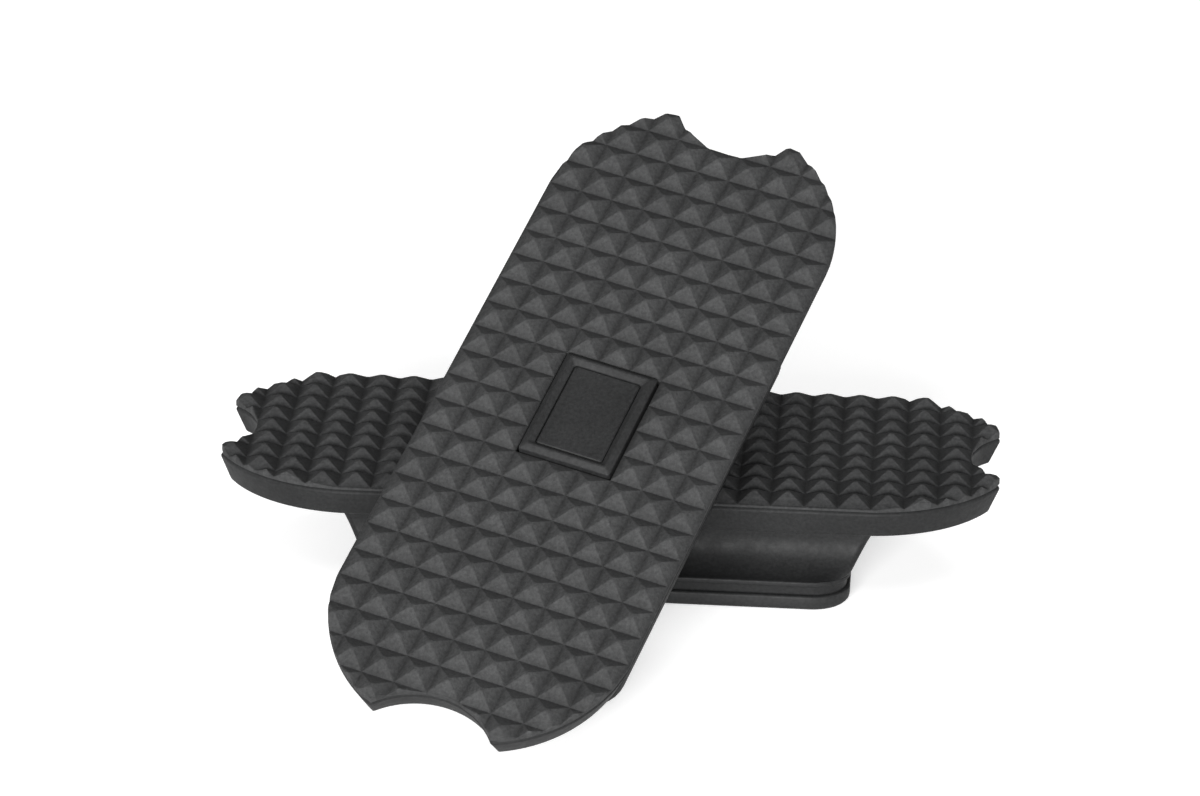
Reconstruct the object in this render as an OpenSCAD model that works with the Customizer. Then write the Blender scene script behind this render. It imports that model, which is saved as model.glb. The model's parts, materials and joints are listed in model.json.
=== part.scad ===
// Pair of rubber stirrup treads. One lies flat, the other leans across it.
// Each tread is modelled in its own frame: X along it, Y across it, Z = 0 on its sole.
// The sole of the flat tread is also the origin of the whole part.

/* [Tread pad] */
// Length over the round ends, before the end notches are cut
pad_l = 125.4; // [112:0.2:152]
// Width of the pad
pad_w = 46.5; // [38:0.5:60]
// Height of the pad body's side wall
wall_h = 4.6; // [3:0.1:8]
// How far the foot of the side wall is set in from its top edge
wall_inset = 1.5; // [0.5:0.1:2.5]
// Radius of the notch in each end, which clears the iron's side branch
notch_r = 11.9; // [9:0.1:15]
// How deep each notch reaches in from the round end
notch_depth = 6.75; // [5:0.05:10]

/* [Studs] */
// Distance from one stud to the next, both ways
pitch = 5.1; // [4.2:0.1:6.2]
// Height of a stud above its sheet
stud_h = 1.45; // [1:0.05:2.5]
// Width of a stud's flat top
stud_top = 0.55; // [0.3:0.05:1.5]
// Thickness of the studded sheet
sheet_t = 0.4; // [0.3:0.1:1.5]
// Width of the chamfer that shows as a line between sheet and pad body
reveal = 0.45; // [0.2:0.05:0.6]

/* [Badge] */
// Studs left out for the badge along the tread
badge_rows = 4; // [2:2:6]
// Studs left out for the badge across the tread
badge_cols = 3; // [3:2:5]
// Gap round the badge frame
badge_gap = 0.3; // [0.2:0.05:0.5]
// Depth of the badge's pocket in the pad body
pocket_d = 1.2; // [0.6:0.1:2]
// Width of the badge frame's outer bevel
frame_edge = 0.8; // [0.4:0.1:1]
// Width of the badge frame's flat top
frame_top = 0.3; // [0.2:0.1:0.6]
// Width of the badge frame's inner bevel
frame_bevel = 0.8; // [0.4:0.1:1]
// How far the frame's top lies below the tops of the studs
frame_drop = 0.25; // [0.1:0.05:0.4]
// How far the badge plate lies below the tops of the studs
plate_drop = 0.9; // [0.6:0.1:1.3]
// Gap round the badge plate
plate_gap = 0.15; // [0.1:0.05:0.3]

/* [Grip] */
// Length of the grip where it meets the pad
grip_top_l = 86; // [76:1:96]
// Length of the lip and the sole, below the neck's sloping ends
grip_l = 76; // [62:0.5:84]
// Width of the neck, which fills the opening in the iron's foot plate
neck_w = 26.2; // [22:0.2:31]
// Straight height of the neck below the pad
neck_h = 4.15; // [2:0.05:6]
// Radius of the hollow curve from the neck out to the lip
flare_r = 5.4; // [3.5:0.1:7]
// Thickness of the lip at its edge
lip_t = 0.8; // [0.4:0.1:1.4]
// Height of the groove between lip and sole, all round the grip
groove_h = 1.6; // [0.8:0.1:2]
// Depth of that groove
groove_d = 0.5; // [0.3:0.1:2]
// Thickness of the sole
sole_t = 2.4; // [1.6:0.1:5]
// Corner radius of the sole and the lip, seen from below
corner_r = 6.0; // [3:0.1:9]
// Chamfer round the sole's lower edge
sole_chamfer = 0.6; // [0.3:0.1:1]

/* [Leaning tread] */
// Slope of the leaning tread, about the flat tread's length
lean = 29.6; // [20:0.1:40]
// Turn of the leaning tread in its own plane
turn = 71.7; // [50:0.1:90]
// Sideways place of the leaning tread's centre
lean_x = -2.0; // [-10:0.1:10]
// Gap left where the two treads and the ground touch
rest_gap = 0.15; // [0.05:0.05:0.5]

/* [Hidden] */
$fn = 128;
cut = 1;

// Heights in a tread's own frame
neck_z = sole_t;
lip_w = neck_w + 2 * flare_r;
neck_t = neck_h + flare_r + lip_t + groove_h;
body_z = neck_z + neck_t;
sheet_z = body_z + wall_h;
base_z = sheet_z + sheet_t;
top_z = base_z + stud_h;

// Stud grid: whole studs only, an odd count across and an even count along
cols = 2 * floor((pad_w / pitch - 1) / 2) + 1;
rows = 2 * floor(pad_l / 2 / pitch);
badge_x = badge_rows * pitch;
badge_y = badge_cols * pitch;

// Ends: round end centre, notch centre and the horn tip where the two arcs cross
end_r = pad_w / 2;
end_x = pad_l / 2 - end_r;
notch_x = pad_l / 2 - notch_depth + notch_r;
function horn_dx(inset) =
    (pow(notch_x - end_x, 2) + pow(end_r - inset, 2) - pow(notch_r + inset, 2))
    / (2 * (notch_x - end_x));
function horn(inset) =
    [end_x + horn_dx(inset), sqrt(pow(end_r - inset, 2) - pow(horn_dx(inset), 2))];

// Leaning tread: its sole's plane clears the first studs and the edge of the flat tread,
// and its lowest point, a horn or a corner of its sole, clears the ground
function support(p) = sin(lean) * p[0] + cos(lean) * p[1];
function drop(p) = sin(lean) * (p[0] * sin(turn) + p[1] * cos(turn));
front_stud = [(cols - 1) / 2 * pitch + stud_top / 2, top_z];
sheet_edge = [end_r, base_z];
plane_d = max(support(front_stud), support(sheet_edge)) + rest_gap;
sole_reach = drop([grip_l / 2 - corner_r, lip_w / 2 - corner_r])
    + sin(lean) * (corner_r - sole_chamfer);
horn_reach = drop(horn(wall_inset)) - cos(lean) * body_z;
lean_z = max(sole_reach, horn_reach) + rest_gap;
lean_run = (cos(lean) * plane_d - lean_z) / sin(lean);
lean_y = -sin(lean) * plane_d - cos(lean) * lean_run;

module in_upper_place() {
    translate([lean_x, lean_y, lean_z])
        rotate([lean, 0, 0])
            rotate([0, 0, turn])
                children();
}

// Row of flat-topped teeth standing on a strip, drawn in the XY plane
function teeth(n) = [
    for (i = [0 : n - 1])
        let (x = (i - n / 2) * pitch, slope = (pitch - stud_top) / 2)
            each [[x, 0], [x + slope, stud_h], [x + slope + stud_top, stud_h]]
];

module toothed_strip(n, span) {
    polygon(concat(
        [[-span / 2, -sheet_t], [-span / 2, 0]],
        teeth(n),
        [[n * pitch / 2, 0], [span / 2, 0], [span / 2, -sheet_t]]));
}

// Long oval with round ends; its foot is set in all round
module oval(h, inset) {
    section = [[-end_r + inset, 0], [end_r - inset, 0], [end_r, h], [-end_r, h]];
    rotate([90, 0, 90])
        translate([0, 0, -end_x])
            linear_extrude(2 * end_x)
                polygon(section);
    for (side = [-1, 1])
        translate([side * end_x, 0, 0])
            cylinder(h = h, r1 = end_r - inset, r2 = end_r);
}

// Cuts for the notches in both ends, widening by inset at the foot
module notches(h, inset) {
    slope = inset / h;
    for (side = [-1, 1])
        translate([side * notch_x, 0, -cut])
            cylinder(h = h + 2 * cut, r1 = notch_r + inset + cut * slope, r2 = notch_r - cut * slope);
}

// Block with a rectangular foot that narrows by bevel over its top part
module bevelled_block(x, y, h, bevel, bevel_h) {
    intersection() {
        bevelled_bar(x, y, h, bevel, bevel_h);
        rotate([0, 0, 90])
            bevelled_bar(y, x, h, bevel, bevel_h);
    }
}

module bevelled_bar(x, y, h, bevel, bevel_h) {
    rotate([90, 0, 0])
        translate([0, 0, -y / 2])
            linear_extrude(y)
                polygon([[-x / 2, 0], [x / 2, 0], [x / 2, h - bevel_h], [x / 2 - bevel, h],
                         [-x / 2 + bevel, h], [-x / 2, h - bevel_h]]);
}

// Rectangle with round corners
module round_rectangle(x, y, r) {
    square([x - 2 * r, y], center = true);
    square([x, y - 2 * r], center = true);
    for (sx = [-1, 1], sy = [-1, 1])
        translate([sx * (x / 2 - r), sy * (y / 2 - r)])
            circle(r);
}

module stud_sheet() {
    color("#46484a")
        translate([0, 0, base_z])
            difference() {
                intersection() {
                    rotate([90, 0, 0])
                        translate([0, 0, -pad_w / 2])
                            linear_extrude(pad_w)
                                toothed_strip(rows, pad_l + pitch);
                    rotate([90, 0, 90])
                        translate([0, 0, -pad_l / 2])
                            linear_extrude(pad_l)
                                toothed_strip(cols, pad_w);
                    translate([0, 0, -sheet_t])
                        difference() {
                            oval(sheet_t + stud_h, 0);
                            notches(sheet_t + stud_h, 0);
                        }
                }
                translate([-badge_x / 2, -badge_y / 2, -sheet_t - cut])
                    cube([badge_x, badge_y, sheet_t + stud_h + 2 * cut]);
            }
}

module pad_body() {
    color("#3b3d3f")
        translate([0, 0, body_z])
            difference() {
                union() {
                    difference() {
                        oval(wall_h - reveal, wall_inset);
                        notches(wall_h - reveal, wall_inset);
                    }
                    translate([0, 0, wall_h - reveal])
                        body_rim();
                }
                translate([-badge_x / 2, -badge_y / 2, wall_h - pocket_d])
                    cube([badge_x, badge_y, pocket_d + cut]);
            }
}

// Top of the pad body, drawn in so that a line shows below the sheet
module body_rim() {
    difference() {
        intersection() {
            oval(reveal, 0);
            body_rim_core();
        }
        translate([0, 0, -cut])
            for (side = [-1, 1])
                translate([side * notch_x, 0, 0])
                    cylinder(h = reveal + 2 * cut, r = notch_r + reveal);
    }
}

module body_rim_core() {
    core_r = end_r - reveal;
    translate([-end_x, -core_r, 0])
        cube([2 * end_x, 2 * core_r, reveal]);
    for (side = [-1, 1])
        translate([side * end_x, 0, 0])
            cylinder(h = reveal, r = core_r);
}

module badge_frame() {
    x = badge_x - 2 * badge_gap;
    y = badge_y - 2 * badge_gap;
    rim = 2 * (frame_edge + frame_top);
    h = pocket_d + sheet_t + stud_h - frame_drop;
    step = plate_drop - frame_drop;
    color("#404244")
        translate([0, 0, sheet_z - pocket_d])
            difference() {
                bevelled_block(x, y, h, frame_edge, step);
                translate([0, 0, h / 2])
                    cube([x - rim - 2 * frame_bevel, y - rim - 2 * frame_bevel, h + 2 * cut], center = true);
                translate([0, 0, h + cut])
                    mirror([0, 0, 1])
                        bevelled_block(x - rim, y - rim, cut + step, frame_bevel, step);
            }
}

module badge_plate() {
    trim = 2 * (badge_gap + frame_edge + frame_top + frame_bevel + plate_gap);
    x = badge_x - trim;
    y = badge_y - trim;
    h = pocket_d + sheet_t + stud_h - plate_drop;
    color("#4a4c4e")
        translate([0, 0, sheet_z - pocket_d])
            bevelled_block(x, y, h, plate_gap, plate_gap);
}

module grip_neck() {
    color("#37393b")
        translate([0, 0, neck_z])
            difference() {
                intersection() {
                    rotate([90, 0, 90])
                        translate([0, 0, -grip_top_l / 2])
                            linear_extrude(grip_top_l)
                                neck_section();
                    rotate([90, 0, 0])
                        translate([0, 0, -lip_w / 2])
                            linear_extrude(lip_w)
                                neck_side();
                    linear_extrude(neck_t)
                        neck_plan();
                }
                groove();
            }
}

// Straight neck with a hollow flare out to the lip, seen from its end
module neck_section() {
    flare_z = groove_h + lip_t + flare_r;
    difference() {
        translate([-lip_w / 2, 0])
            square([lip_w, neck_t]);
        for (side = [-1, 1]) {
            translate([side * lip_w / 2, flare_z])
                circle(flare_r);
            translate([side * (neck_w / 2 + flare_r + cut), flare_z + neck_t / 2])
                square([2 * (flare_r + cut), neck_t], center = true);
        }
    }
}

// The ends slope outwards from the lip's top edge to the pad
module neck_side() {
    lip_top = groove_h + lip_t;
    polygon([[-grip_l / 2, 0], [grip_l / 2, 0], [grip_l / 2, lip_top], [grip_top_l / 2, neck_t],
             [-grip_top_l / 2, neck_t], [-grip_l / 2, lip_top]]);
}

// The neck is longer at its top than the lip, whose corners are round
module neck_plan() {
    round_rectangle(grip_l, lip_w, corner_r);
    square([grip_top_l, neck_w], center = true);
}

// Groove round the foot of the grip, above the sole
module groove() {
    translate([0, 0, -cut])
        linear_extrude(groove_h + cut)
            difference() {
                square([grip_l + 2 * cut, lip_w + 2 * cut], center = true);
                round_rectangle(grip_l - 2 * groove_d, lip_w - 2 * groove_d, corner_r - groove_d);
            }
}

module sole() {
    color("#343638")
        intersection() {
            translate([0, 0, sole_t])
                mirror([0, 0, 1])
                    bevelled_block(grip_l, lip_w, sole_t, sole_chamfer, sole_chamfer);
            sole_round_corners();
        }
}

// Block with round corners that carry the sole's lower chamfer
module sole_round_corners() {
    x = grip_l / 2 - corner_r;
    y = lip_w / 2 - corner_r;
    for (sx = [-1, 1], sy = [-1, 1])
        translate([sx * x, sy * y, 0]) {
            translate([0, 0, sole_chamfer])
                cylinder(h = sole_t - sole_chamfer, r = corner_r);
            cylinder(h = sole_chamfer, r1 = corner_r - sole_chamfer, r2 = corner_r);
        }
    translate([-x, -lip_w / 2, 0])
        cube([2 * x, lip_w, sole_t]);
    translate([-grip_l / 2, -y, 0])
        cube([grip_l, 2 * y, sole_t]);
}

stud_sheet();  // lower_stud_sheet
pad_body();  // lower_pad_body
badge_frame();  // lower_badge_frame
badge_plate();  // lower_badge_plate
grip_neck();  // lower_grip_neck
sole();  // lower_sole
in_upper_place() stud_sheet();  // upper_stud_sheet
in_upper_place() pad_body();  // upper_pad_body
in_upper_place() badge_frame();  // upper_badge_frame
in_upper_place() badge_plate();  // upper_badge_plate
in_upper_place() grip_neck();  // upper_grip_neck
in_upper_place() sole();  // upper_sole
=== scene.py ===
"""Looks of a pair of rubber stirrup treads: moulded pieces, rubber materials, soft studio light."""
import math

import bmesh
import bpy
from mathutils import Matrix, Vector
from mathutils.geometry import delaunay_2d_cdt
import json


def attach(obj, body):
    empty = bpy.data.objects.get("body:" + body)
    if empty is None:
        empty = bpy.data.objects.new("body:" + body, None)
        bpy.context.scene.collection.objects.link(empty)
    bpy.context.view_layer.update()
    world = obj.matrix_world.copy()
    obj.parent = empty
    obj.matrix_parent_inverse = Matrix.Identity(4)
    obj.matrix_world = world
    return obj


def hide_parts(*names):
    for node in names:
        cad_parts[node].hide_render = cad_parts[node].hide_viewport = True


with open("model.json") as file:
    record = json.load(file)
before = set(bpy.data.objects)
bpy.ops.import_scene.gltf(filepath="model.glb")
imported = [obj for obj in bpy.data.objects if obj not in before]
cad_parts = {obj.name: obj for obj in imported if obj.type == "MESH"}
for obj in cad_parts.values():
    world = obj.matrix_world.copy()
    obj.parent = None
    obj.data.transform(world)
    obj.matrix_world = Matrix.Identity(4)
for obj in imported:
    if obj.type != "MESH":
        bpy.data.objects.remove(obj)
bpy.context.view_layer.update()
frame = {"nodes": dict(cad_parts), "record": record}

MM = 0.001

# ---------------------------------------------------------------- sizes of one tread, in mm
PAD_L, PAD_W = 125.4, 46.5          # oval before its end notches are cut
NOTCH_R, NOTCH_DEPTH = 11.9, 6.75
TIP_R, SHARPEST_TIP_R = 0.8, 0.3    # rounding of the horns beside a notch, and its least value
WALL_H, WALL_INSET = 4.6, 1.5
PITCH, STUD_H, STUD_TOP = 5.1, 1.45, 0.55
ROWS, COLS = 24, 9
SHEET_T, REVEAL = 0.4, 0.45
RIM_R = 0.25                        # rounding of the sheet's outer edge
BADGE_ROWS, BADGE_COLS = 4, 3
BADGE_GAP, POCKET_D = 0.3, 1.2
FRAME_EDGE, FRAME_TOP, FRAME_BEVEL = 0.8, 0.3, 0.8
FRAME_DROP, PLATE_DROP, PLATE_GAP = 0.25, 0.9, 0.15
GRIP_TOP_L, GRIP_L = 86.0, 76.0
NECK_W, NECK_H, FLARE_R = 26.2, 4.15, 5.4
LIP_T, GROOVE_H, GROOVE_D = 0.8, 1.6, 0.5
SOLE_T, SOLE_CHAMFER = 2.4, 0.6
CORNER_R, NECK_CORNER_R = 6.0, 1.2  # corners seen from above: of the sole and lip, and of the neck

END_R = PAD_W / 2
END_X = PAD_L / 2 - END_R
NOTCH_X = PAD_L / 2 - NOTCH_DEPTH + NOTCH_R
LIP_W = NECK_W + 2 * FLARE_R
LIP_TOP = GROOVE_H + LIP_T
NECK_T = NECK_H + FLARE_R + LIP_T + GROOVE_H
BODY_Z = SOLE_T + NECK_T
SHEET_Z = BODY_Z + WALL_H
BASE_Z = SHEET_Z + SHEET_T
TOP_Z = BASE_Z + STUD_H
BADGE_X, BADGE_Y = BADGE_ROWS * PITCH, BADGE_COLS * PITCH
BADGE_NEAR = 0.1                    # a point this close to the badge's opening counts as on its edge


# ---------------------------------------------------------------- outlines seen from above
NOTCH_STEPS, TIP_STEPS, END_STEPS, SIDE_STEPS = 14, 6, 24, 12


def arc(cx, cy, r, start, end, steps):
    """Points on an arc, both ends included; angles in radians."""
    return [(cx + r * math.cos(start + (end - start) * i / steps),
             cy + r * math.sin(start + (end - start) * i / steps)) for i in range(steps + 1)]


def horn_centre(inset, tip_r):
    """Centre of the small arc that joins the round end to the notch."""
    outer, inner = END_R - inset - tip_r, NOTCH_R + inset + tip_r
    run = NOTCH_X - END_X
    dx = (run ** 2 + outer ** 2 - inner ** 2) / (2 * run)
    return END_X + dx, math.sqrt(outer ** 2 - dx ** 2)


def mirrored(quarter):
    """Whole closed outline from its quarter, which runs from the X axis to the Y axis."""
    half = quarter + [(-x, y) for x, y in reversed(quarter[:-1])]
    return half + [(x, -y) for x, y in reversed(half[1:-1])]


def oval(inset):
    """The pad's notched oval, set in by inset all round."""
    tip_r = max(TIP_R - inset, SHARPEST_TIP_R)
    cx, cy = horn_centre(inset, tip_r)
    to_notch = math.atan2(-cy, NOTCH_X - cx)
    to_end = math.atan2(cy, cx - END_X)
    quarter = arc(NOTCH_X, 0, NOTCH_R + inset, math.pi, to_notch + math.pi, NOTCH_STEPS)
    quarter += arc(cx, cy, tip_r, to_notch, to_end, TIP_STEPS)[1:]
    quarter += arc(END_X, 0, END_R - inset, to_end, math.pi / 2, END_STEPS)[1:]
    quarter += [(END_X * (1 - i / SIDE_STEPS), END_R - inset) for i in range(1, SIDE_STEPS + 1)]
    return mirrored(quarter)


def round_rectangle(half_x, half_y, r, steps=8):
    """Rectangle with round corners; the point count only depends on steps."""
    quarter = [(half_x, 0.0)]
    quarter += arc(half_x - r, half_y - r, r, 0, math.pi / 2, steps)
    quarter += [(0.0, half_y)]
    return mirrored(quarter)


def outward(x, y):
    """Outward direction at a point near the pad's outline or near the edge of the badge's opening."""
    sx, sy = math.copysign(1, x), math.copysign(1, y)
    px, py = abs(x), abs(y)
    if px < BADGE_X / 2 + BADGE_NEAR and py < BADGE_Y / 2 + BADGE_NEAR:
        return Vector((-sx if px > BADGE_X / 2 - BADGE_NEAR else 0,
                       -sy if py > BADGE_Y / 2 - BADGE_NEAR else 0))
    cx, cy = horn_centre(0, TIP_R)
    tip = Vector((px - cx, py - cy))
    angle = math.atan2(tip.y, tip.x)
    if math.atan2(-cy, NOTCH_X - cx) < angle < math.atan2(cy, cx - END_X) and tip.length < 2 * TIP_R:
        way = tip
    elif math.hypot(px - NOTCH_X, py) < NOTCH_R + 2 * RIM_R:
        way = Vector((NOTCH_X - px, -py))
    else:
        way = Vector((max(px - END_X, 0), py))
    way.normalize()
    return Vector((way.x * sx, way.y * sy))


# ---------------------------------------------------------------- mesh building
def add_ring(bm, outline, z):
    """New vertices along an outline at height z."""
    return [bm.verts.new((x, y, z)) for x, y in outline]


def bridge(bm, low, high):
    """Band of faces between two rings with equal point counts."""
    for i, vert in enumerate(low):
        j = (i + 1) % len(low)
        bm.faces.new((vert, low[j], high[j], high[i]))


def loft(bm, sections, cap_low=True, cap_high=True):
    """Skin through outlines with equal point counts, each given as (outline, z), lowest first."""
    rings = [add_ring(bm, outline, z) for outline, z in sections]
    for low, high in zip(rings, rings[1:]):
        bridge(bm, low, high)
    if cap_low:
        bm.faces.new(list(reversed(rings[0])))
    if cap_high:
        bm.faces.new(rings[-1])
    return rings


def cap_with_opening(bm, outer, inner):
    """Flat face between an outer and an inner ring."""
    edges = [bm.edges.get((ring[i - 1], ring[i])) for ring in (outer, inner) for i in range(len(ring))]
    bmesh.ops.triangle_fill(bm, edges=edges, use_beauty=True)


def rounded(profile, radius, steps=3):
    """Rounds each inner corner of an open (a, b) profile by about radius, less where its sides are short."""
    points = [profile[0]]
    for before, corner, after in zip(profile, profile[1:], profile[2:]):
        c = Vector(corner)
        a, b = Vector(before) - c, Vector(after) - c
        r = min(radius, a.length * 0.45, b.length * 0.45)
        start, end = c + a.normalized() * r, c + b.normalized() * r
        for i in range(steps + 1):
            t = i / steps
            points.append(tuple((1 - t) ** 2 * start + 2 * t * (1 - t) * c + t ** 2 * end))
    return points + [profile[-1]]


def finished_mesh(bm, name, sharp_angle):
    """Mesh datablock in metres from a bmesh in millimetres, shaded smooth below sharp_angle in degrees."""
    bmesh.ops.recalc_face_normals(bm, faces=bm.faces)
    bmesh.ops.scale(bm, vec=(MM, MM, MM), verts=bm.verts)
    mesh = bpy.data.meshes.new(name)
    bm.to_mesh(mesh)
    bm.free()
    mesh.polygons.foreach_set("use_smooth", [True] * len(mesh.polygons))
    mesh.set_sharp_from_angle(angle=math.radians(sharp_angle))
    return mesh


# ---------------------------------------------------------------- stud sheet
STUD_CORNER = 0.14      # rounding of a stud's sloping edges
TOP_SOFTNESS = 0.16     # height over which a stud's top edge is rounded
VALLEY_SOFTNESS = 0.12  # and the valley between two studs
RAISED = "raised"       # vertex layer: height above the sheet as a share of STUD_H

# Distances from a stud's middle at which its surface has a contour, from the valley to the flat top.
# They are close together where the valley and the top edge are rounded. The last one stays above
# STUD_CORNER, because a smaller contour would cross itself.
STUD_LEVELS = (PITCH / 2, 2.45, 2.36, 1.4, 0.52, 0.39, 0.28, 0.18)


def soft_max(a, b, softness):
    """The larger of two numbers, with a rounded change from one to the other."""
    return max(a, b) + max(softness - abs(a - b), 0) ** 2 / (4 * softness)


def stud_height(x, y):
    """Height of the studded surface above the sheet; x and y from the tread's middle."""
    u = abs((x / PITCH + ROWS / 2) % 1 - 0.5) * PITCH
    v = abs((y / PITCH + COLS / 2) % 1 - 0.5) * PITCH
    reach = soft_max(u, v, STUD_CORNER)
    slope = STUD_H * (PITCH / 2 - reach) / ((PITCH - STUD_TOP) / 2)
    return soft_max(-soft_max(-slope, -STUD_H, TOP_SOFTNESS), 0, VALLEY_SOFTNESS)


def stud_ring(level):
    """One contour of a stud about its own middle: a square with rounded corners, sharp if outermost."""
    outermost = level == STUD_LEVELS[0]
    corner = []
    for d in (1, 0.5, 0):
        gap = STUD_CORNER * d
        far = level if outermost else level - (STUD_CORNER - gap) ** 2 / (4 * STUD_CORNER)
        corner.append((far, (level if outermost else far) - gap))
    corner += [(y, x) for x, y in reversed(corner[:-1])]
    ring = []
    for turn in range(4):
        cos, sin = (1, 0, -1, 0)[turn], (0, 1, 0, -1)[turn]
        ring += [(x * cos - y * sin, x * sin + y * cos) for x, y in corner]
    return ring


def stud_pattern():
    """Flat points and faces of the whole grid of studs, the badge's opening left out."""
    points, faces, shared = [], [], {}
    rings = [stud_ring(level) for level in STUD_LEVELS]
    count = len(rings[0])
    for row in range(ROWS):
        for col in range(COLS):
            cx, cy = (row - (ROWS - 1) / 2) * PITCH, (col - (COLS - 1) / 2) * PITCH
            if abs(cx) < BADGE_X / 2 and abs(cy) < BADGE_Y / 2:
                continue
            ids = []
            for x, y in (point for ring in rings for point in ring):
                key = (round(cx + x, 4), round(cy + y, 4))
                if key not in shared:
                    shared[key] = len(points)
                    points.append(Vector(key))
                ids.append(shared[key])
            for level in range(len(rings) - 1):
                for i in range(count):
                    j = (i + 1) % count
                    low, high = level * count, (level + 1) * count
                    faces.append([ids[low + i], ids[low + j], ids[high + j], ids[high + i]])
            faces.append(ids[-count:])
    return points, faces


def inside_oval(x, y, inset):
    """Whether a point lies on the pad, more than inset from its edge."""
    px, py = abs(x), abs(y)
    if math.hypot(px - NOTCH_X, py) < NOTCH_R + inset:
        return False
    return math.hypot(max(px - END_X, 0), py) < END_R - inset


def stud_sheet():
    """Sheet of soft-edged studs, cut to the pad's outline, with a rounded rim and the badge's opening."""
    points, faces = stud_pattern()
    edge = oval(RIM_R)
    first = len(points)
    rim = [(first + i, first + (i + 1) % len(edge)) for i in range(len(edge))]
    faces_for_bmesh, tolerance = 4, 1e-5
    flat, _, cut_faces, _, _, origins = delaunay_2d_cdt(
        points + [Vector(p) for p in edge], rim, faces, faces_for_bmesh, tolerance, True)
    bm = bmesh.new()
    raised = bm.verts.layers.float.new(RAISED)
    verts = {}

    def vert(i):
        if i not in verts:
            height = stud_height(flat[i].x, flat[i].y)
            verts[i] = bm.verts.new((flat[i].x, flat[i].y, height))
            verts[i][raised] = height / STUD_H
        return verts[i]

    for face, origin in zip(cut_faces, origins):
        x = sum(flat[i].x for i in face) / len(face)
        y = sum(flat[i].y for i in face) / len(face)
        if origin and inside_oval(x, y, RIM_R):
            bm.faces.new([vert(i) for i in face])
    skirt(bm)
    bmesh.ops.translate(bm, vec=(0, 0, BASE_Z), verts=bm.verts)
    return bm


def skirt(bm):
    """Turns the sheet's open edges down through a small round to its underside, and closes it."""
    ways = {}
    for v in bm.verts:
        if v.is_boundary:
            ways[v] = outward(v.co.x, v.co.y)
    turns = (math.pi / 6, math.pi / 3, math.pi / 2)
    steps = [(math.sin(a) * RIM_R, (math.cos(a) - 1) * RIM_R) for a in turns]
    for v in ways:
        if abs(v.co.x) < BADGE_X / 2 + BADGE_NEAR and abs(v.co.y) < BADGE_Y / 2 + BADGE_NEAR:
            v.co.xy -= ways[v] * RIM_R
    start = {v: v.co.copy() for v in ways}
    edges = [e for e in bm.edges if e.is_boundary]
    for out, down in steps + [(RIM_R, None)]:
        grown = bmesh.ops.extrude_edge_only(bm, edges=edges)["geom"]
        edges = [g for g in grown if isinstance(g, bmesh.types.BMEdge)]
        fresh = [g for g in grown if isinstance(g, bmesh.types.BMVert)]
        for v in fresh:
            source = next(e.other_vert(v) for e in v.link_edges if e.other_vert(v) in ways)
            ways[v], start[v] = ways[source], start[source]
            base = start[v]
            v.co.xy = base.xy + ways[v] * out
            v.co.z = -SHEET_T if down is None else base.z + down
        for v in [v for v in ways if v not in fresh]:
            del ways[v]
    bmesh.ops.triangle_fill(bm, edges=edges, use_beauty=True)


# ---------------------------------------------------------------- the other pieces of a tread
def pad_body():
    """Plate under the studs: tapered side wall, a reveal under the sheet and the badge's pocket."""
    underside_rim = 1.2
    reveal_low, reveal_high = WALL_H - REVEAL - 0.12, WALL_H - 0.1
    wall = [(WALL_INSET + underside_rim, 0), (WALL_INSET, 0), (0, reveal_low), (REVEAL, reveal_high),
            (REVEAL, WALL_H)]
    bm = bmesh.new()
    sections = [(oval(inset), BODY_Z + z) for inset, z in rounded(wall, radius=0.35)]
    top = loft(bm, sections, cap_high=False)[-1]
    pocket = round_rectangle(BADGE_X / 2, BADGE_Y / 2, r=0.2, steps=3)
    pocket_top = add_ring(bm, pocket, SHEET_Z)
    pocket_floor = add_ring(bm, pocket, SHEET_Z - POCKET_D)
    bridge(bm, pocket_top, pocket_floor)
    bm.faces.new(pocket_floor)
    cap_with_opening(bm, top, pocket_top)
    return bm


def badge_frame():
    """Low ridge with a wide bevel on both sides, round an open middle."""
    half_x, half_y = BADGE_X / 2 - BADGE_GAP, BADGE_Y / 2 - BADGE_GAP
    low, high = SHEET_Z - POCKET_D, TOP_Z - FRAME_DROP
    edge = FRAME_EDGE + FRAME_TOP
    foot = TOP_Z - PLATE_DROP
    section = [(0.0, low), (0.0, foot), (FRAME_EDGE, high), (edge, high),
               (edge + FRAME_BEVEL, foot), (edge + FRAME_BEVEL, low)]
    bm = bmesh.new()
    sections = [(round_rectangle(half_x - inset, half_y - inset, r=0.45, steps=4), z)
                for inset, z in rounded(section, radius=0.16)]
    rings = loft(bm, sections, cap_low=False, cap_high=False)
    bridge(bm, rings[-1], rings[0])
    return bm


def badge_plate():
    """Blank plate that lies sunk inside the frame, very slightly dished."""
    trim = BADGE_GAP + FRAME_EDGE + FRAME_TOP + FRAME_BEVEL + PLATE_GAP
    half_x, half_y = BADGE_X / 2 - trim, BADGE_Y / 2 - trim
    low, high = SHEET_Z - POCKET_D, TOP_Z - PLATE_DROP
    chamfer, rim, dish_start, dish_end, dish_depth = 0.15, 0.6, 1.6, 2.4, 0.06
    section = [(0.0, low), (0.0, high - chamfer), (chamfer, high), (rim, high),
               (dish_start, high - dish_depth), (dish_end, high - dish_depth)]
    bm = bmesh.new()
    loft(bm, [(round_rectangle(half_x - inset, half_y - inset, r=0.35, steps=4), z) for inset, z in section])
    return bm


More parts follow.
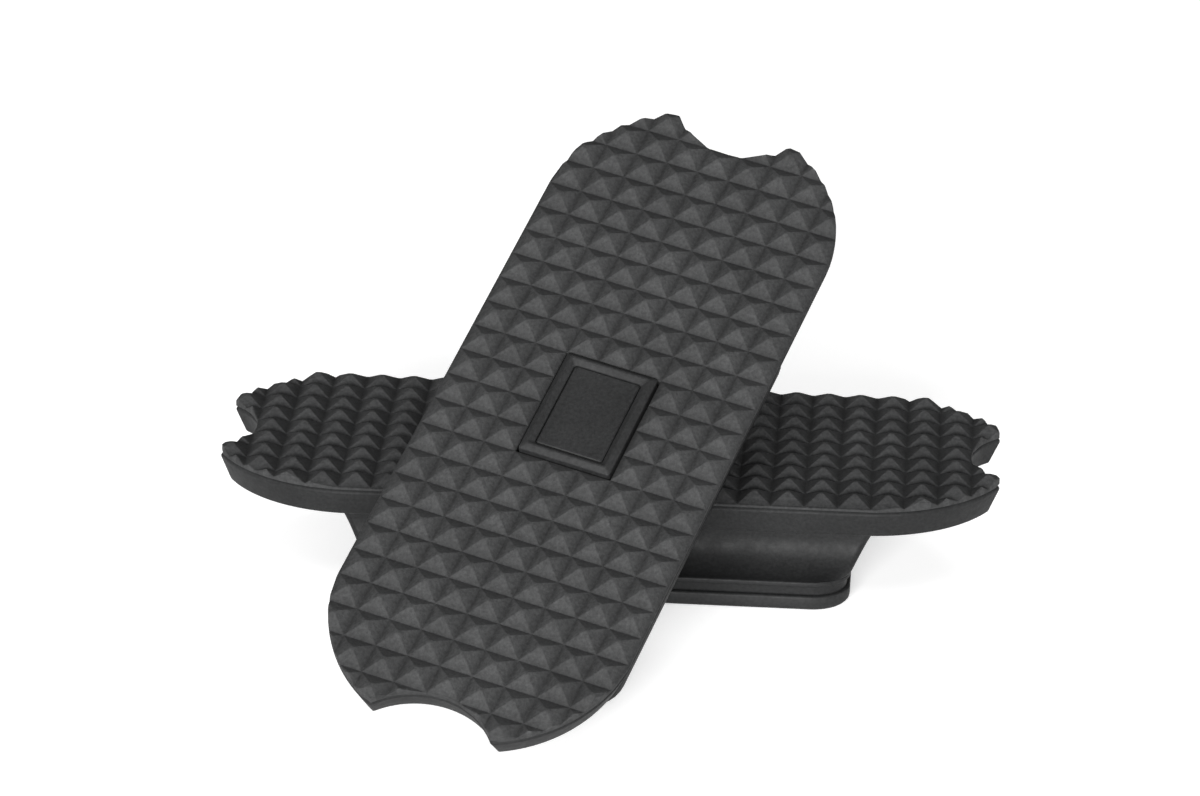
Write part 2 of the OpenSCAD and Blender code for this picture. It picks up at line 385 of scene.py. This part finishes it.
def grip_section():
    """Side profile of the grip neck as (half width, height above the sole), lowest first."""
    underside_rim, lip_rim, lip_rise, neck_collar = 0.8, 0.6, 0.04, 0.5
    half_lip, half_groove = LIP_W / 2, LIP_W / 2 - GROOVE_D
    lip = [(half_groove - underside_rim, 0), (half_groove, 0), (half_groove, GROOVE_H),
           (half_lip, GROOVE_H), (half_lip, LIP_TOP), (half_lip - lip_rim, LIP_TOP + lip_rise)]
    steps = 16
    flare = [(half_lip - FLARE_R * math.sin(a), LIP_TOP + FLARE_R - FLARE_R * math.cos(a))
             for a in (math.pi / 2 * i / steps for i in range(3, steps + 1))]
    return rounded(lip, radius=0.42) + flare + [(NECK_W / 2, NECK_T - neck_collar), (NECK_W / 2, NECK_T)]


def grip_neck():
    """Neck that fills the iron's foot plate, with sloping ends and a flared lip below."""
    bm = bmesh.new()
    sections = []
    for half_w, z in grip_section():
        if z < LIP_TOP:
            inset = LIP_W / 2 - half_w
            half_l, corner = GRIP_L / 2 - inset, CORNER_R - inset
        else:
            half_l = GRIP_L / 2 + (z - LIP_TOP) / (NECK_T - LIP_TOP) * (GRIP_TOP_L - GRIP_L) / 2
            corner = NECK_CORNER_R + (CORNER_R - NECK_CORNER_R) * ((half_w - NECK_W / 2) / FLARE_R) ** 2
        sections.append((round_rectangle(half_l, half_w, corner), SOLE_T + z))
    loft(bm, sections)
    return bm


def sole():
    """Flat plate that the tread stands on."""
    rim = 1.6
    profile = [(rim, 0), (SOLE_CHAMFER, 0), (0, SOLE_CHAMFER), (0, SOLE_T), (rim, SOLE_T)]
    bm = bmesh.new()
    loft(bm, [(round_rectangle(GRIP_L / 2 - inset, LIP_W / 2 - inset, CORNER_R - inset), z)
              for inset, z in rounded(profile, radius=0.4)])
    return bm


# ---------------------------------------------------------------- materials
def new_material(name):
    """A node material and its main shader."""
    material = bpy.data.materials.new(name)
    material.use_nodes = True
    return material, material.node_tree.nodes["Principled BSDF"]


def rubber(name, shade, roughness, grain_mm, gloss, painted_valley_shade=False):
    """Moulded rubber: cloudy and mottled tone over a fine grain; if asked, painted shade darkens the valleys
    between the studs.
    """
    material, shader = new_material(name)
    nodes, links = material.node_tree.nodes, material.node_tree.links
    shader.inputs["IOR"].default_value = 1.5
    shader.inputs["Specular IOR Level"].default_value = gloss
    place = nodes.new("ShaderNodeTexCoord").outputs["Object"]

    def noise(size_mm, detail, rough=0.6):
        node = nodes.new("ShaderNodeTexNoise")
        node.inputs["Scale"].default_value = 1 / (size_mm * MM)
        node.inputs["Detail"].default_value = detail
        node.inputs["Roughness"].default_value = rough
        links.new(place, node.inputs["Vector"])
        return node.outputs["Fac"]

    def mapped(value, low, high, to_low, to_high):
        node = nodes.new("ShaderNodeMapRange")
        node.inputs["From Min"].default_value = low
        node.inputs["From Max"].default_value = high
        node.inputs["To Min"].default_value = to_low
        node.inputs["To Max"].default_value = to_high
        links.new(value, node.inputs["Value"])
        return node.outputs["Result"]

    def product(a, b):
        node = nodes.new("ShaderNodeMath")
        node.operation = "MULTIPLY"
        links.new(a, node.inputs[0])
        links.new(b, node.inputs[1])
        return node.outputs["Value"]

    cloud = mapped(noise(size_mm=9, detail=4), 0.3, 0.7, 0.85, 1.15)
    mottle = mapped(noise(size_mm=0.5, detail=4, rough=0.7), 0.35, 0.65, 0.72, 1.28)
    tone = product(cloud, mottle)
    if painted_valley_shade:
        raised = nodes.new("ShaderNodeAttribute")
        raised.attribute_name = RAISED
        # painted shade: the valleys between studs are darker and the slopes and tops a little paler, by
        # height above the sheet
        tone = product(tone, mapped(raised.outputs["Fac"], 0.0, 0.5, 0.75, 1.05))
    mix = nodes.new("ShaderNodeMix")
    mix.data_type = "RGBA"
    mix.blend_type = "MULTIPLY"
    mix.inputs["Factor"].default_value = 1.0
    mix.inputs["A"].default_value = (*shade, 1)
    links.new(tone, mix.inputs["B"])
    links.new(mix.outputs["Result"], shader.inputs["Base Color"])
    smears, spread = noise(size_mm=1.6, detail=4), 0.07
    links.new(mapped(smears, 0.3, 0.7, roughness - spread, roughness + spread), shader.inputs["Roughness"])
    bump = nodes.new("ShaderNodeBump")
    bump.inputs["Strength"].default_value = 1.0
    bump.inputs["Distance"].default_value = grain_mm * MM
    links.new(noise(size_mm=0.35, detail=5, rough=0.7), bump.inputs["Height"])
    links.new(bump.outputs["Normal"], shader.inputs["Normal"])
    return material


# body_rubber and grip_rubber are darker than stud_rubber partly as painted shade, for the pad's wall and the
# neck in shadow under the pad.
LOOKS = {
    "stud_rubber": dict(shade=(0.0260, 0.0263, 0.0266), roughness=0.7, grain_mm=0.05, gloss=0.16, painted_valley_shade=True),
    "body_rubber": dict(shade=(0.0110, 0.0112, 0.0114), roughness=0.62, grain_mm=0.02, gloss=0.14),
    "badge_rubber": dict(shade=(0.0135, 0.0137, 0.0139), roughness=0.6, grain_mm=0.02, gloss=0.16),
    "grip_rubber": dict(shade=(0.0110, 0.0112, 0.0114), roughness=0.55, grain_mm=0.012, gloss=0.13),
    "sole_rubber": dict(shade=(0.0120, 0.0122, 0.0124), roughness=0.58, grain_mm=0.015, gloss=0.15),
}
MATERIALS = {name: rubber(name, **look) for name, look in LOOKS.items()}

# Each piece's function, material and sharp angle.
PIECES = {
    "stud_sheet": (stud_sheet, "stud_rubber", 30),
    "pad_body": (pad_body, "body_rubber", 38),
    "badge_frame": (badge_frame, "badge_rubber", 38),
    "badge_plate": (badge_plate, "badge_rubber", 38),
    "grip_neck": (grip_neck, "grip_rubber", 38),
    "sole": (sole, "sole_rubber", 38),
}


# ---------------------------------------------------------------- placing both treads
def mount(name):
    """The record's mount of that name."""
    return next(m for m in frame["record"]["mounts"] if m["name"] == name)


def tread_place(tread, near_channel, far_channel):
    """Matrix from a tread's own frame to the whole part's, from its CAD sole and its two channels."""
    sole_mesh = frame["nodes"][f"{tread}_sole"].data
    up = max(sole_mesh.polygons, key=lambda p: p.area).normal.copy()
    if up.z < 0:
        up.negate()
    across = Vector(mount(far_channel)["axis"])
    across = (across - up * across.dot(up)).normalized()
    along = across.cross(up)
    middle = (Vector(mount(near_channel)["pos_m"]) + Vector(mount(far_channel)["pos_m"])) / 2
    lowest = min(up.dot(v.co) for v in sole_mesh.vertices)
    origin = middle + up * (lowest - up.dot(middle))
    return Matrix.Translation(origin) @ Matrix((along, across, up)).transposed().to_4x4()


TREADS = {
    "lower": tread_place("lower", "lower_front_channel", "lower_rear_channel"),
    "upper": tread_place("upper", "upper_right_channel", "upper_left_channel"),
}

for piece, (build, slot, sharp_angle) in PIECES.items():
    moulded = finished_mesh(build(), piece, sharp_angle)
    moulded.materials.append(MATERIALS[slot])
    for tread, place in TREADS.items():
        mesh = moulded.copy()
        mesh.transform(place)
        obj = bpy.data.objects.new(f"{tread}_{piece}_moulded", mesh)
        bpy.context.scene.collection.objects.link(obj)
        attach(obj, f"{tread}_tread")
        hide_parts(f"{tread}_{piece}")
    bpy.data.meshes.remove(moulded)


# ---------------------------------------------------------------- floor, light and camera
def add_floor(radius=3.0):
    """Round pale floor; it gives off a little light, so that it renders nearly white."""
    bm = bmesh.new()
    bmesh.ops.create_circle(bm, cap_ends=True, segments=96, radius=radius)
    mesh = bpy.data.meshes.new("floor")
    bm.to_mesh(mesh)
    bm.free()
    material, shader = new_material("pale_floor")
    shader.inputs["Base Color"].default_value = (0.85, 0.85, 0.85, 1)
    shader.inputs["Roughness"].default_value = 0.8
    shader.inputs["Specular IOR Level"].default_value = 0.2
    shader.inputs["Emission Color"].default_value = (1, 1, 1, 1)
    shader.inputs["Emission Strength"].default_value = 0.42
    mesh.materials.append(material)
    obj = bpy.data.objects.new("floor", mesh)
    bpy.context.scene.collection.objects.link(obj)


def direction(azimuth, elevation):
    """Unit vector towards a viewer at that azimuth and elevation, in degrees; azimuth 0 looks along +Y."""
    a, e = math.radians(azimuth), math.radians(elevation)
    return Vector((math.sin(a) * math.cos(e), -math.cos(a) * math.cos(e), math.sin(e)))


AIM = Vector((-0.0023, 0.0020, 0.0258))     # what the camera and the softboxes point at, in metres


def add_softbox(name, azimuth, elevation, distance, width, height, power):
    """Rectangular light pointed at AIM; lengths in metres, power in watts."""
    light = bpy.data.lights.new(name, "AREA")
    light.shape = "RECTANGLE"
    light.size, light.size_y, light.energy = width, height, power
    obj = bpy.data.objects.new(name, light)
    way = direction(azimuth, elevation)
    obj.location = AIM + way * distance
    obj.rotation_mode = "QUATERNION"
    obj.rotation_quaternion = way.to_track_quat("Z", "Y")
    bpy.context.scene.collection.objects.link(obj)


def add_camera(azimuth, elevation, roll, distance, lens):
    """Scene camera pointed at AIM; angles in degrees, distance in metres, lens in mm."""
    camera = bpy.data.cameras.new("camera")
    camera.lens, camera.sensor_width = lens, 36
    camera.clip_start, camera.clip_end = 0.01, 20
    obj = bpy.data.objects.new("camera", camera)
    back = direction(azimuth, elevation)
    level = Vector((math.cos(math.radians(azimuth)), math.sin(math.radians(azimuth)), 0))
    right = Matrix.Rotation(math.radians(roll), 3, back) @ level
    turn = Matrix((right, back.cross(right), back)).transposed().to_4x4()
    obj.matrix_world = Matrix.Translation(AIM + back * distance) @ turn
    bpy.context.scene.collection.objects.link(obj)
    bpy.context.scene.camera = obj


def set_world(strength):
    """Even white light from all round."""
    world = bpy.data.worlds.new("studio")
    world.use_nodes = True
    world.node_tree.nodes["Background"].inputs["Color"].default_value = (1, 1, 1, 1)
    world.node_tree.nodes["Background"].inputs["Strength"].default_value = strength
    bpy.context.scene.world = world


add_camera(azimuth=3.326, elevation=21.76, roll=1.2, distance=0.9376, lens=180)
add_floor()
set_world(0.04)
add_softbox("low_front_softbox", -4, 13, 2.2, 1.2, 0.5, 105)
add_softbox("high_front_softbox", 10, 55, 2.0, 1.2, 0.8, 14)
add_softbox("left_softbox", -85, 20, 1.3, 0.7, 0.4, 8)
add_softbox("right_softbox", 85, 20, 1.3, 0.7, 0.4, 5)
add_softbox("rear_softbox", 180, 60, 2.2, 1.2, 0.5, 4)
bpy.context.scene.view_settings.view_transform = "Standard"
